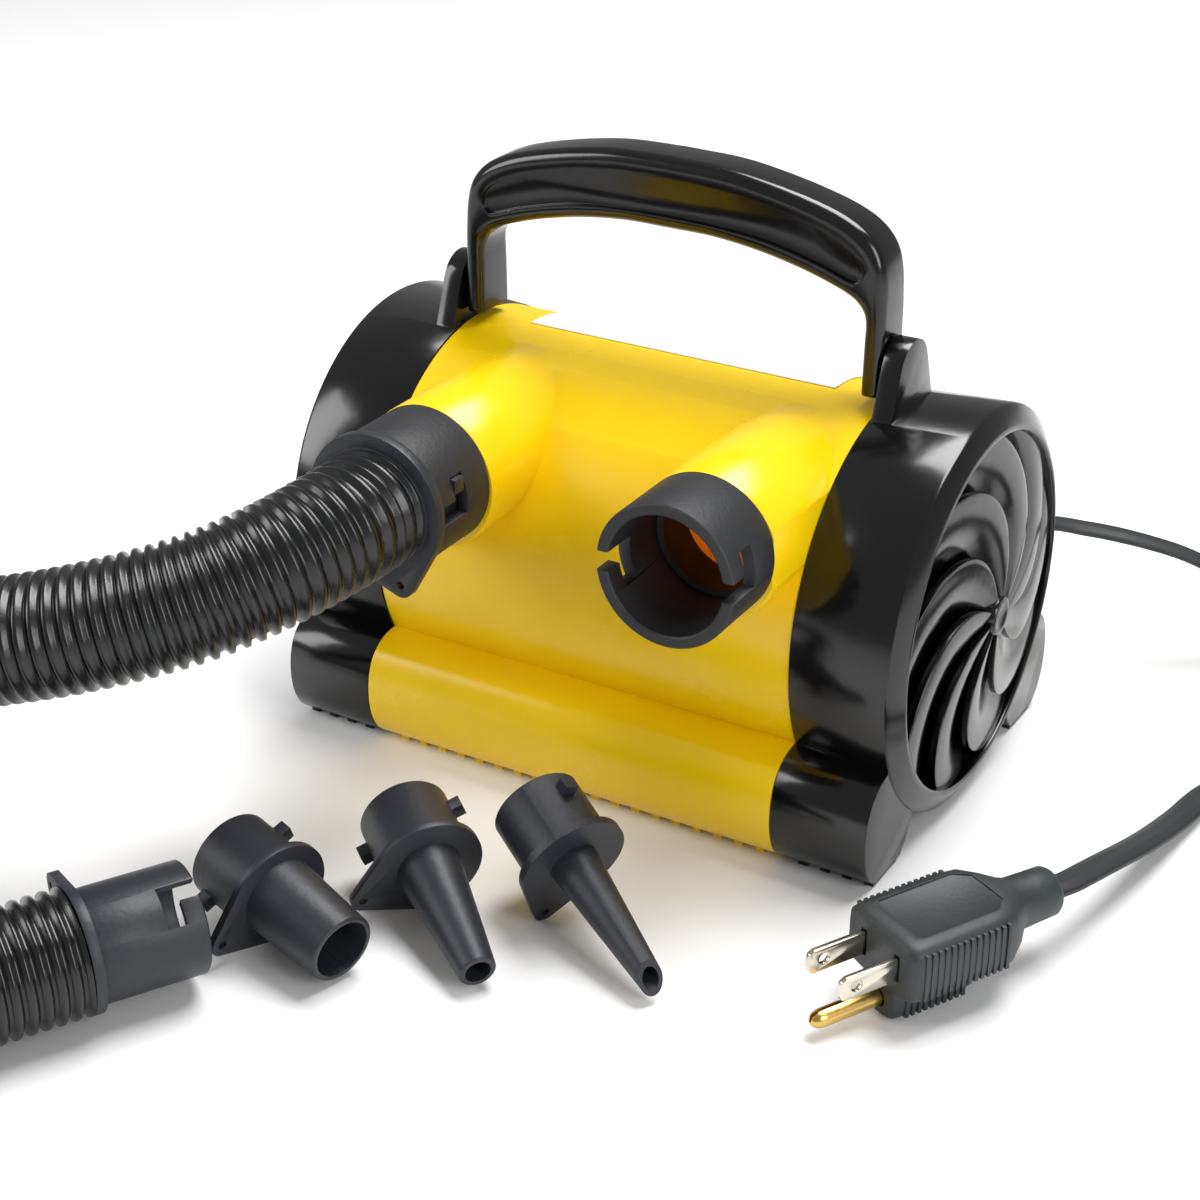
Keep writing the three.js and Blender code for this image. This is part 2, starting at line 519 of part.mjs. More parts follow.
function makeStator() {
  const boltHoles = [45, 135, 225, 315].map((deg) => circlePath(
    27 * Math.cos(rad(deg)), 27 * Math.sin(rad(deg)), 1.8));
  const pocket = [-1, 1].map((side) => {
    const ys = [side * 10, side * 25].sort((p, q) => p - q);
    return box(-50, -16, ys[0], ys[1], axisZ - 9, axisZ + 9);
  });
  piece('stator_core', cut(disc(30, boltHoles, -47, -19), pocket,
    rod(17.4, -50, -16, 'x', onAxis, 28)), 'iron', 0.45, 0.8);
  const upper = (side) => {
    const half = box(-60, 0, -30, 30, 1, 30);
    const turns = [[-52.6, -47.4], [-18.6, -13.4]].map(([a, b]) =>
      ring(17.6, 24, a, b, 'x', [0, 0, 0], 24).intersect(half));
    const legs = [[-24.4, -18.2], [18.2, 24.4]].map(([y0, y1]) => box(-52.6, -13.4, y0, y1, 1, 6));
    return union(turns, legs).rotate([side, 0, 0]).translate(onAxis);
  };
  piece('field_coil_upper', upper(0), 'copper', 0.4, 0.7);
  piece('field_coil_lower', upper(180), 'copper', 0.4, 0.7);
  const vents = spokeHoles(4, 18, 6);
  const centre = circlePath(0, 0, 8.3);
  piece('bracket_left', disc(30, [...boltHoles, ...vents.map((p) => p.clone()), centre],
    -58, -55), 'steel', 0.4, 0.9);
  piece('bracket_right', disc(30, [...boltHoles, ...spokeHoles(4, 18, 6), circlePath(0, 0, 8.3)],
    3, 6), 'steel', 0.4, 0.9);
  piece('bearing_left', ring(3.3, 8, -59, -54, 'x', onAxis, 20), 'steel', 0.2, 1);
  piece('bearing_right', ring(3.3, 8, 2, 7, 'x', onAxis, 20), 'steel', 0.2, 1);
  [45, 135, 225, 315].forEach((deg, i) => {
    const bolt = turned([[0, -60.6], [3, -60.6], [3, -58.3], [1.5, -58.3], [1.5, 8], [0, 8]], 'x',
      [0, 27 * Math.cos(rad(deg)), axisZ + 27 * Math.sin(rad(deg))], 12);
    piece(`motor_bolt_${i + 1}`, bolt, 'steel', 0.3, 1);
  });
  for (const [name, turn] of [['front', 180], ['rear', 0]]) {
    const brush = box(-9.4, -3.6, 9.3, 20, -2.4, 2.4).rotate([0, 0, 0]);
    const holder = cut(box(-11, -2, 11, 24, -4, 4), box(-9.7, -3.3, 5, 22, -2.7, 2.7));
    const place = (s) => (turn ? s.rotate([180, 0, 0]) : s).translate(onAxis);
    piece(`carbon_brush_${name}`, place(brush), 'carbon', 0.7);
    piece(`brush_holder_${name}`, place(holder), 'brass', 0.4, 0.9);
  }
}

function makeDucts() {
  piece('divider_plate', disc(50.9, [circlePath(0, 0, 20)], 14, 17), 'white', 0.5);
  piece('back_plate', cut(disc(50.9, spokeHoles(3, 16, 4), 58, 61),
    rod(18.1, 20, 80, 'front', [portX.right, 0, portZ])), 'white', 0.5);
  // Volute: a wall that winds outwards from the tongue by the outlet, open towards the port.
  const inner = [];
  const outerEdge = [];
  for (let i = 0; i <= 30; i++) {
    const t = rad(176 + (270 * i) / 30);
    const r = 40.4 + (7.6 * i) / 30;
    inner.push([r * Math.cos(t), r * Math.sin(t)]);
    outerEdge.unshift([(r + 1.8) * Math.cos(t), (r + 1.8) * Math.sin(t)]);
  }
  piece('volute', prism('yz', [...inner, ...outerEdge], 17.4, 40.2).translate(onAxis),
    'white', 0.5);
}

makeShell();
makeCaps();
makeHandle();
makePorts();
makeLabel();
makeSwitch();
makeHoseEnds();
makeCuff();
makeHose();
makeNozzles();
makeLead();
makePlug();
makeRotor();
makeStator();
makeDucts();

export default pump;
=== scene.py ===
# Electric air mattress pump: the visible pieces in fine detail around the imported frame.
import json
import math
import bmesh
import bpy
import numpy as np
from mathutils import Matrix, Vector


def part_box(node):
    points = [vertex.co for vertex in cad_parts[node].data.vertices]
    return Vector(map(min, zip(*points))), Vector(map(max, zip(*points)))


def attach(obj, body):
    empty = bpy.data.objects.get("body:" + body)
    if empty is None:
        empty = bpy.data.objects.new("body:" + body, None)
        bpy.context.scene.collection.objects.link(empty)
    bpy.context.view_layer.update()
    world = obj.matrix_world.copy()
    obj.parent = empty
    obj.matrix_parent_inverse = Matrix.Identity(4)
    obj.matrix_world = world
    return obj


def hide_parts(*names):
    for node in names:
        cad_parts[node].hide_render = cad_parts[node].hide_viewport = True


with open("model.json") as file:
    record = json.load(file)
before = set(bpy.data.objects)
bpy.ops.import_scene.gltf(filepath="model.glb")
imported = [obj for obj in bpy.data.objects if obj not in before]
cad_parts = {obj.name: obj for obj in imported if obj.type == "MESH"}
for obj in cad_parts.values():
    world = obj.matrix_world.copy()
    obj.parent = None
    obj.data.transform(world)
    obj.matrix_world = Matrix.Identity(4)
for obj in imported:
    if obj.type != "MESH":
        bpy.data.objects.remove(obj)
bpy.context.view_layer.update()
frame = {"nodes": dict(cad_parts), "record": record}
mm = 0.001
axisZ = 57.4  # barrel axis above the floor, as in the solids
portZ = 93  # height of both ports' axes
portX = {"Right": 45, "Left": -37.5}
tau = 2 * math.pi


# An array of points in millimetres and its faces become a mesh in metres.
def meshFrom(name, points, faces):
    mesh = bpy.data.meshes.new(name)
    mesh.from_pydata((np.asarray(points, float) * mm).tolist(), [], faces)
    mesh.validate()
    obj = bpy.data.objects.new(name, mesh)
    bpy.context.scene.collection.objects.link(obj)
    return obj


def tidyMesh(obj, merge=0.004):  # merges poles, makes faces point outwards
    bm = bmesh.new()
    bm.from_mesh(obj.data)
    bmesh.ops.remove_doubles(bm, verts=bm.verts, dist=merge * mm)
    bmesh.ops.recalc_face_normals(bm, faces=bm.faces)
    bm.to_mesh(obj.data)
    bm.free()
    return obj


# A grid of points (rows, columns, 3): neighbours join into quads, either way round may close,
# and an end row that stays open is closed by one flat face.
def gridSolid(name, grid, closeRows=False, closeColumns=True, caps=True):
    rows, columns = grid.shape[:2]
    i = np.arange(rows if closeRows else rows - 1)[:, None]
    j = np.arange(columns if closeColumns else columns - 1)[None, :]
    here, below = i % rows * columns, (i + 1) % rows * columns
    left, right = j % columns, (j + 1) % columns
    quads = np.stack([here + left, below + left, below + right, here + right], -1)
    faces = quads.reshape(-1, 4).tolist()
    if caps and not closeRows:
        faces += [list(range(columns)), list(range((rows - 1) * columns, rows * columns))]
    return tidyMesh(meshFrom(name, grid.reshape(-1, 3), faces))


# Directions for a turned piece: unit vectors along the axis and two across it.
turnAxes = {
    "right": ((1, 0, 0), (0, 1, 0), (0, 0, 1)),
    "left": ((-1, 0, 0), (0, 1, 0), (0, 0, 1)),
    "front": ((0, -1, 0), (1, 0, 0), (0, 0, 1)),
    "back": ((0, 1, 0), (1, 0, 0), (0, 0, 1)),
}


# Revolves closed corners (radius r, distance d) round an axis:
# point = origin + d along + r cos t across + r sin t up.
def turned(name, corners, direction, at, segments=96):
    along, across, up = (np.array(v, float) for v in turnAxes[direction])
    c = np.array(corners, float)
    t = np.arange(segments) * tau / segments
    round3 = np.cos(t)[:, None] * across + np.sin(t)[:, None] * up
    grid = np.array(at, float) + c[:, 1][:, None, None] * along + c[:, 0][:, None, None] * round3
    return gridSolid(name, grid, closeRows=True)


# A flat outline in a plane, pushed along the third axis: yz along x, xz along y, xy along z.
def prism(name, plane, outline, start, end):
    place = {"yz": (1, 2, 0), "xz": (0, 2, 1), "xy": (0, 1, 2)}[plane]
    o = np.array(outline, float)
    grid = np.zeros((2, len(o), 3))
    grid[:, :, place[0]] = o[:, 0]
    grid[:, :, place[1]] = o[:, 1]
    grid[0, :, place[2]] = start
    grid[1, :, place[2]] = end
    return gridSolid(name, grid)


def block(name, x0, x1, y0, y1, z0, z1):
    return prism(name, "xy", [(x0, y0), (x1, y0), (x1, y1), (x0, y1)], z0, z1)


# Smooth closed or open curve through points, by Catmull-Rom: each span is a cubic of 4 neighbours.
def smooth(points, steps, closed=False):
    p = np.array(points, float)
    p = (np.vstack([p[-1], p, p[:2]]) if closed
         else np.vstack([2 * p[0] - p[1], p, 2 * p[-1] - p[-2]]))
    a, b, c, d = p[:-3], p[1:-2], p[2:-1], p[3:]
    t = (np.arange(steps) / steps)[None, :, None]
    a, b, c, d = (v[:, None, :] for v in (a, b, c, d))
    q = 0.5 * (2 * b + (c - a) * t + (2 * a - 5 * b + 4 * c - d) * t ** 2
               + (3 * b - a - 3 * c + d) * t ** 3)
    q = q.reshape(-1, p.shape[1])
    return q if closed else np.vstack([q, p[-2]])


def resample(points, count):  # the same curve with points an equal length apart
    p = np.asarray(points, float)
    s = np.concatenate([[0], np.cumsum(np.linalg.norm(np.diff(p, axis=0), axis=1))])
    want = np.linspace(0, s[-1], count)
    return np.stack([np.interp(want, s, p[:, k]) for k in range(p.shape[1])], 1), s[-1]


# Carries a section along a path: ring i = centre i + u across + v up, turned level with the floor.
def swept(name, path, section, closed=False):
    p = np.asarray(path, float)
    d = np.gradient(p, axis=0)
    d /= np.linalg.norm(d, axis=1, keepdims=True)
    across = np.cross(d, (0, 0, 1.0))
    across /= np.linalg.norm(across, axis=1, keepdims=True)
    up = np.cross(across, d)
    s = np.asarray(section, float)
    s = np.broadcast_to(s, (len(p),) + s.shape[-2:])
    grid = p[:, None] + s[..., :1] * across[:, None] + s[..., 1:] * up[:, None]
    return gridSolid(name, grid, closeRows=closed)


def useModifier(obj, kind, **settings):
    m = obj.modifiers.new(kind.title(), kind)
    for key, value in settings.items():
        setattr(m, key, value)
    return m


def bake(obj):  # turns live modifiers into the mesh
    got = obj.evaluated_get(bpy.context.evaluated_depsgraph_get())
    mesh = bpy.data.meshes.new_from_object(got)
    obj.modifiers.clear()
    obj.data = mesh
    return obj


def combine(obj, others, how):  # UNION or DIFFERENCE with each of the other solids in turn
    for other in others:
        bpy.context.view_layer.update()
        useModifier(obj, "BOOLEAN", operation=how, object=other, solver="EXACT")
        bake(obj)
        bpy.data.objects.remove(other)
    return obj


def join(name, parts):  # loose solids become one object, without merging their surfaces
    points, faces, base = [], [], 0
    for part in parts:
        co = np.zeros(len(part.data.vertices) * 3)
        part.data.vertices.foreach_get("co", co)
        points.append(co.reshape(-1, 3) / mm)
        faces += [[v + base for v in f.vertices] for f in part.data.polygons]
        base += len(part.data.vertices)
        bpy.data.objects.remove(part)
    return meshFrom(name, np.vstack(points), faces)


# Rounds the edges sharper than an angle, sets the finish, hangs the piece on its body and hides the
# solids it replaces.
def finished(obj, body, replaces, material, bevel=0.0, angle=35, segments=2):
    if bevel:
        useModifier(obj, "BEVEL", width=bevel * mm, segments=segments, limit_method="ANGLE",
                    angle_limit=math.radians(angle))
    bpy.context.view_layer.update()
    bake(obj)
    obj.data.shade_smooth()
    obj.data.set_sharp_from_angle(angle=math.radians(angle))
    obj.data.materials.clear()
    obj.data.materials.append(material)
    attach(obj, body)
    if replaces:
        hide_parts(*replaces)
    return obj


def moved(obj, matrix=None, shift=(0, 0, 0)):  # a turn then a shift, put into the mesh
    co = np.zeros(len(obj.data.vertices) * 3)
    obj.data.vertices.foreach_get("co", co)
    co = co.reshape(-1, 3)
    if matrix is not None:
        co = co @ np.array(matrix, float).T
    obj.data.vertices.foreach_set("co", (co + np.array(shift) * mm).ravel())
    obj.data.update()
    return obj


def turn(axis, degrees):
    c, s = math.cos(math.radians(degrees)), math.sin(math.radians(degrees))
    return {"x": [[1, 0, 0], [0, c, -s], [0, s, c]], "y": [[c, 0, s], [0, 1, 0], [-s, 0, c]],
            "z": [[c, -s, 0], [s, c, 0], [0, 0, 1]]}[axis]


def linear(hexCode):  # an sRGB hex colour as the linear values that a shader takes
    v = np.array([int(hexCode[i:i + 2], 16) / 255 for i in (1, 3, 5)])
    v = np.where(v <= 0.04045, v / 12.92, ((v + 0.055) / 1.055) ** 2.4)
    return (*v, 1.0)


def addNode(tree, kind, values=None, links=None, **settings):
    node = tree.nodes.new(kind)
    for key, value in settings.items():
        setattr(node, key, value)
    for key, value in (values or {}).items():
        node.inputs[key].default_value = value
    for key, socket in (links or {}).items():
        tree.links.new(socket, node.inputs[key])
    return node


# One moulded or metal finish: a base colour that drifts slowly over the piece, a fine texture of a
# real size in millimetres, and smudges in the gloss. What extra holds is set on the shader itself.
def finish(name, low, high, rough, grain=0.15, bump=0.1, smudge=0.05, extra=None, drift=18):
    material = bpy.data.materials.new(name)
    material.use_nodes = True
    tree = material.node_tree
    shader = tree.nodes["Principled BSDF"]
    for key, value in (extra or {}).items():
        shader.inputs[key].default_value = value
    where = addNode(tree, "ShaderNodeTexCoord").outputs["Object"]
    cloud = addNode(tree, "ShaderNodeTexNoise", {"Scale": 1000 / drift, "Detail": 4.0},
                    {"Vector": where})
    mix = addNode(tree, "ShaderNodeMix", {"A": linear(low), "B": linear(high)},
                  {"Factor": cloud.outputs["Fac"]}, data_type="RGBA")
    tree.links.new(mix.outputs["Result"], shader.inputs["Base Color"])
    spread = addNode(tree, "ShaderNodeMapRange",
                     {"To Min": rough - smudge, "To Max": rough + smudge},
                     {"Value": cloud.outputs["Fac"]})
    tree.links.new(spread.outputs["Result"], shader.inputs["Roughness"])
    # noise at scale 1 has bumps about a quarter of a unit wide, hence the 4
    fine = addNode(tree, "ShaderNodeTexNoise", {"Scale": 1000 / grain / 4, "Detail": 2.0},
                   {"Vector": where})
    bumps = addNode(tree, "ShaderNodeBump", {"Strength": bump, "Distance": grain * mm},
                    {"Height": fine.outputs["Fac"]})
    tree.links.new(bumps.outputs["Normal"], shader.inputs["Normal"])
    return material


# Glossy injection-moulded ABS: deep colour under a clear skin with a faint ripple
yellowAbs = finish("yellowMouldedAbs", "#f0c400", "#f5cd06", 0.26, grain=2.4, bump=0.03,
                   extra={"IOR": 1.5})
blackAbs = finish("blackMouldedAbs", "#050506", "#08090a", 0.17, grain=2.2, bump=0.04,
                  smudge=0.03, extra={"IOR": 1.52})
# Spark-eroded charcoal ABS: fine even grit, no clear highlight
charcoalAbs = finish("charcoalGrainedAbs", "#17181a", "#1f2023", 0.55, grain=0.3, bump=0.35,
                     extra={"IOR": 1.52})
# Extruded and corrugated polyethylene: waxy gloss that breaks up along the ribs
blackPolyethylene = finish("blackCorrugatedPolyethylene", "#0c0d0e", "#141517", 0.27, grain=0.8,
                           bump=0.12, extra={"IOR": 1.51})
# Moulded polypropylene: blue-black, satin
satinPolypropylene = finish("blueBlackPolypropylene", "#1d1f26", "#262932", 0.46, grain=0.4,
                            bump=0.2, extra={"IOR": 1.49})
# Soft PVC: matte, slightly green
leadPvc = finish("leadSoftPvc", "#15181a", "#1d2123", 0.5, grain=0.5, bump=0.15,
                 extra={"IOR": 1.53})
# Injection-moulded PVC: grey-green, fine satin grain
plugPvc = finish("plugMouldedPvc", "#1f2527", "#272e30", 0.5, grain=0.3, bump=0.2,
                 extra={"IOR": 1.53})
# Amber polycarbonate with a painted glow: an even emission over the whole part stands in for light
# coming through it
amberPlastic = finish("amberPolycarbonate", "#e07d12", "#f39c26", 0.3, grain=0.6, bump=0.08,
                      extra={"IOR": 1.58, "Emission Color": linear("#e0801a"),
                             "Emission Strength": 0.25})
# Plain vinyl label: white, faint satin
labelVinyl = finish("labelWhiteVinyl", "#e4e4e0", "#ecece8", 0.38, grain=0.5, bump=0.03,
                    extra={"IOR": 1.5})
# Nickel plate on stamped brass: a warm, clear reflection
nickelPlate = finish("nickelPlatedBlades", "#c9c3b4", "#d6d1c4", 0.24, grain=0.4, bump=0.06,
                     extra={"Metallic": 1.0})
# Turned brass: yellow reflection, slightly streaked
brassTurned = finish("brassTurnedPin", "#c9a45a", "#d8b66c", 0.26, grain=0.4, bump=0.06,
                     extra={"Metallic": 1.0})
# Ground bright steel: neutral reflection, soft at the edges
steelGround = finish("steelGroundBright", "#9b9ea2", "#acafb3", 0.3, grain=0.3, bump=0.1,
                     extra={"Metallic": 1.0})
# Enamelled copper wire: reddish brown gloss over an uneven winding
copperWire = finish("copperEnamelledWire", "#9a4a1f", "#b8622e", 0.32, grain=0.5, bump=0.3,
                    extra={"Metallic": 1.0})
# Stamped iron laminations: dark grey, dull sheen
ironLaminations = finish("ironLaminatedCore", "#4a4c50", "#5b5e62", 0.45, grain=0.5, bump=0.25,
                         extra={"Metallic": 1.0})
# Pressed carbon: nearly black, no gloss
carbonBlock = finish("carbonPressedBrush", "#1c1c1d", "#28282a", 0.7, grain=0.3, bump=0.3)
# Moulded nylon: off-white, waxy
whiteNylon = finish("whiteMouldedNylon", "#d9d6cc", "#e4e1d8", 0.45, grain=0.4, bump=0.1)

slotFinish = {
    "yellow_shell": yellowAbs, "black_cap": blackAbs, "handle_black": blackAbs,
    "port_black": charcoalAbs, "amber_guard": amberPlastic, "label_white": labelVinyl,
    "switch_black": blackAbs, "hose_black": blackPolyethylene,
    "fitting_black": satinPolypropylene, "lead_black": leadPvc, "plug_black": plugPvc,
    "nickel": nickelPlate, "brass": brassTurned, "steel": steelGround, "copper": copperWire,
    "iron": ironLaminations, "carbon": carbonBlock, "white_plastic": whiteNylon,
}
for row in frame["record"]["subparts"]:
    node = frame["nodes"][row["node"]]
    node.data.materials.clear()
    node.data.materials.append(slotFinish[row["material_slot"]])
print("stage: materials")

# Camera: its place in metres, how far it turns left and looks down in degrees, and its lens.
view = {"place": (0.2926, -0.5360, 0.3541), "turn": 30.57, "down": 27.53, "lens": 71.96,
        "sensor": 36}
cameraData = bpy.data.cameras.new("camera")
cameraData.lens = view["lens"]
cameraData.sensor_width = view["sensor"]
cameraData.clip_start = 0.01
camera = bpy.data.objects.new("camera", cameraData)
camera.location = view["place"]
camera.rotation_euler = (math.radians(90 - view["down"]), 0, math.radians(view["turn"]))
bpy.context.scene.collection.objects.link(camera)
bpy.context.scene.camera = camera
print("stage: camera")

# Hose: a 32 mm corrugated tube from the left port round to its cuff.
hose = {"radius": 16.0, "pitch": 3.6, "depth": 1.5, "perRib": 6, "around": 40}
cuffPlace = {"mouth": (-37.0, -173.0, 17.4), "heading": 150.0, "length": 29.2}
cuffHeading = math.radians(cuffPlace["heading"])


def behindCuff(d, z):  # a point d behind the mouth of the cuff, on its axis seen from above
    x, y = cuffPlace["mouth"][:2]
    return x - d * math.sin(cuffHeading), y + d * math.cos(cuffHeading), z


hosePoints = [(-37.5, -91.3, 93), (-37.5, -97, 93), (-38.6, -107, 92.4), (-45, -124, 89),
              (-58, -141, 83.6), (-80, -158, 77.5), (-112, -174, 70), (-154, -190, 56),
              (-198, -210, 39), (-238, -240, 24.5), (-264, -282, 17.2), (-272, -330, 16.3),
              (-252, -372, 16.3), (-212, -393, 16.3), (-168, -388, 16.3), (-134, -358, 16.3),
              (-112, -318, 16.3), (-97, -280, 16.3), behindCuff(88, 16.5), behindCuff(56, 17),
              behindCuff(29.5, 17.4)]
hoseLine, hoseLength = resample(smooth(hosePoints, 24), 4000)
ribCount = round(hoseLength / hose["pitch"])
hoseLine, hoseLength = resample(hoseLine, ribCount * hose["perRib"] + 1)
phase = np.arange(len(hoseLine)) / hose["perRib"] % 1
# rib profile: crown for half the pitch, then a rounded valley
ribRadius = hose["radius"] - hose["depth"] * np.clip(0.5 - 0.85 * np.cos(tau * phase), 0, 1)
angles = np.arange(hose["around"]) * tau / hose["around"]
seam = 0.5 * np.exp(-((angles - math.radians(45)) / 0.06) ** 2)  # mould seam lengthwise
hoseRound = np.stack([np.cos(angles), np.sin(angles)], -1)
hoseSection = (ribRadius[:, None] + seam)[..., None] * hoseRound
hoseTube = swept("hoseTube", hoseLine, hoseSection)
hoseTube = finished(hoseTube, "pump", ["hose"], blackPolyethylene, angle=80)
print("stage: hose", round(hoseLength))

# Mains lead: a flat three-core cord from the strain relief to the coil and back to the plug.
lead = {"width": 8.2, "thick": 3.8, "turns": 5, "centre": (222.0, 92.0), "outerTurn": 53.0,
        "woundIn": 15.4, "lowLayer": 2.3, "layerRise": 8.6, "plugTurn": 242.0,
        "plugFace": (113.2, -102.0)}


def neckAt(d, z):  # a point d behind the face of the plug, on its axis seen from above
    plugAngle = math.radians(lead["plugTurn"])
    x, y = lead["plugFace"]
    return x - d * math.cos(plugAngle), y - d * math.sin(plugAngle), z


coilStart, coilEnd = math.radians(112), math.radians(-118 - 360 * lead["turns"])
t = np.linspace(0, 1, 60 * lead["turns"])
coilAngle = coilStart + (coilEnd - coilStart) * t
# the lower layer winds inwards, one width a turn, and the upper one winds out again on top
coilRadius = lead["outerTurn"] - lead["woundIn"] * (1 - np.abs(2 * t - 1))
coilHeight = lead["lowLayer"] + lead["layerRise"] * np.interp(t, [0, 0.44, 0.56, 1], [0, 0, 1, 1])
coilPoints = np.stack([lead["centre"][0] + coilRadius * np.cos(coilAngle),
                       lead["centre"][1] + coilRadius * np.sin(coilAngle), coilHeight], 1)
upperPoints = [(77, 66.3, 48), (77.2, 74, 47.6), (81, 84, 45.6), (91, 92, 42.6), (102, 98, 40),
               (118, 107, 34), (134, 115, 24), (150, 123, 13.5), (167, 129.6, 6), (185, 135, 2.6)]
lowerPoints = [(181, 52, 8.4), (168, 51, 4.6), (157.6, 43, 2.4), (151.6, 30, 2.4), (149.4, 12, 4),
               (147.4, -10, 8.4), (144.2, -32, 13.4), neckAt(56, 16.6), neckAt(52.2, 17)]
leadLine = np.vstack([smooth(upperPoints, 12), coilPoints, smooth(lowerPoints, 12)])
leadLine = smooth(resample(leadLine, 260)[0], 4)
leadLine, leadLength = resample(leadLine, 1100)
# section: three round cores side by side with shallow grooves between them
a = np.arange(36) * tau / 36
across = lead["width"] / 2 * np.sign(np.cos(a)) * np.abs(np.cos(a)) ** 0.85
core = np.abs(np.cos(across / (lead["width"] / 2) * math.pi * 1.5))
high = lead["thick"] / 2 * np.sin(a) * (0.86 + 0.14 * (1 - core))
leadTube = swept("mainsLead", leadLine, np.stack([across, high], -1))
leadTube = finished(leadTube, "pump", ["cord_upper", "cord_coil", "cord_lower"],
                    leadPvc, angle=60)
print("stage: lead", round(leadLength))

# Barrel: tube, two foot lobes, two port fairings, fine treads and the seat of the switch.
shell = {"radius": 54, "half": 63.4, "bore": 51.2, "tread": 6.35}
lobeEdge = smooth([(-36, 34), (-47, 32.6), (-52, 32), (-56, 30.4), (-59.4, 27.2), (-61.4, 22.4),
                   (-62, 16.4), (-61.2, 10.6), (-59.2, 6), (-56.6, 3), (-54, 1.6)], 6)
lobe = np.vstack([lobeEdge, [(-38.6, 1.6), (-35.6, 4.6), (-32, 12)]])


def lobePair(name, x0, x1):
    return [prism(f"{name}Front", "yz", lobe, x0, x1),
            prism(f"{name}Back", "yz", lobe * (-1, 1), x0, x1)]


def treadBars(x0, x1):
    bars = []
    first = math.ceil((x0 + 1.5) / shell["tread"])
    for i in range(first, int((x1 - 1.5) // shell["tread"]) + 1):
        x = i * shell["tread"]
        for y0, y1 in ((-54, -39.5), (39.5, 54)):
            bars.append(block("bar", x - 1.3, x + 1.3, y0, y1, 0, 2.2))
    return bars


half = shell["half"]
radius, bore = shell["radius"], shell["bore"]
barrel = turned("barrelShell", [(0, -half), (radius, -half), (radius, half), (0, half)], "right",
                (0, 0, axisZ), 192)
fairings = [turned("fairing", [(0, 4), (17, 4), (18.6, 12), (19.5, 24), (19.9, 44), (20, 64.6),
                               (19.6, 65.3), (0, 65.3)], "front", (x, 0, 92), 96)
            for x in portX.values()]
seat = block("seat", -12, 12, 40, 57, axisZ - 10, axisZ + 10)
combine(barrel, lobePair("lobe", -half, half) + fairings + [seat], "UNION")
cuts = [turned("bore", [(0, -80), (bore, -80), (bore, 80), (0, 80)], "right", (0, 0, axisZ), 96),
        block("trimRight", half, 90, -90, 90, -10, 130),
        block("trimLeft", -90, -half, -90, 90, -10, 130),
        block("switchSlot", -7.4, 7.4, 40, 70, axisZ - 6.6, axisZ + 6.6)]
cuts += [turned("portHole", [(0, 24), (17.8, 24), (17.8, 80), (0, 80)], "front", (x, 0, portZ), 72)
         for x in portX.values()]
cuts.append(turned("dimple", [(0, -2), (1.1, -2), (1.1, 2), (0, 2)], "front",
                   (58.1, -44, 88.7), 24))
combine(barrel, cuts, "DIFFERENCE")
barrel = join("barrelShell", [barrel] + treadBars(-half, half))
finished(barrel, "pump", ["shell"], yellowAbs, bevel=0.5, angle=40)
print("stage: barrel")

# End caps: tapered rim with a bright chamfer, foot lobes, lug and a nine-petal louvre.
cap = {"start": 63.7, "petals": 9, "hub": 5.6, "blade": 1.7}


def petalSheet(k):
    # a point at radius r and turn v: angle = 110 + 56 ((r-8)/42)^1.8 + 40 (k + v) degrees,
    # x = crest height, which falls from the hub to the rim, less a drop that grows with v
    u = np.linspace(0, 1, 40)[:, None]
    v = np.linspace(0, 1.32, 18)[None, :]
    r = 4 + u * 45.6 + 0 * v
    angle = np.radians(110 + 56 * np.clip((r - 8) / 42, 0, 2) ** 1.8 + 40 * (k + v))
    bulge = 1.3 * np.sin(math.pi * np.clip(v, 0, 1)) * np.clip(r / 30, 0, 1)
    x = 93.2 + 5.4 * (1 - (r / 49) ** 2) - (1 + 3.2 * np.clip(r / 30, 0, 1)) * v + bulge
    top = np.stack([x, r * np.cos(angle), axisZ + r * np.sin(angle)], -1)
    under = top - np.array([cap["blade"], 0, 0])
    return gridSolid("petal", np.concatenate([top, under[:, ::-1]], 1))


def makeCap(name, turnedRound, node):
    s = cap["start"]
    rim = turned("rim", [(54.4, s), (56, 90.6), (55.7, 91.4), (51, 94.2), (50, 94.5), (49.2, 94.2),
                         (49, 93.6), (49, 84.6), (53.2, 84.6), (51.8, s)], "right",
                 (0, 0, axisZ), 160)
    inner = turned("inner", [(0, s - 5), (51.9, s - 5), (51.9, 84.7), (0, 84.7)], "right",
                   (0, 0, axisZ), 96)
    feet = lobePair("foot", s, 90.8)
    for foot in feet:
        drum = turned("drum", [(0, s - 5), (52, s - 5), (52, 96), (0, 96)], "right",
                      (0, 0, axisZ), 96)
        combine(foot, [drum], "DIFFERENCE")
    lugEdge = smooth([(-14.5, 106), (-11.2, 115), (-8, 124), (-5.6, 127.4), (-2, 129.2), (2, 129.2),
                      (5.6, 127.4), (8, 124), (11.2, 115), (14.5, 106)], 5)
    lug = prism("lug", "yz", lugEdge, s + 0.6, s + 6.2)
    combine(lug, [inner], "DIFFERENCE")
    combine(rim, feet + [lug], "UNION")
    hub = turned("hub", [(0, 90), (cap["hub"], 90), (cap["hub"], 98.2), (5.0, 99.2), (4.2, 99.4),
                         (3.4, 99.2), (0, 98.6)], "right", (0, 0, axisZ), 48)
    parts = [rim, hub] + [petalSheet(k) for k in range(cap["petals"])] + treadBars(s, 90.8)
    whole = join(name, parts)
    if turnedRound:
        moved(whole, turn("z", 180))
    finished(whole, "pump", [node], blackAbs, bevel=0.35, angle=38)


makeCap("capRight", False, "cap_right")
makeCap("capLeft", True, "cap_left")
print("stage: caps")

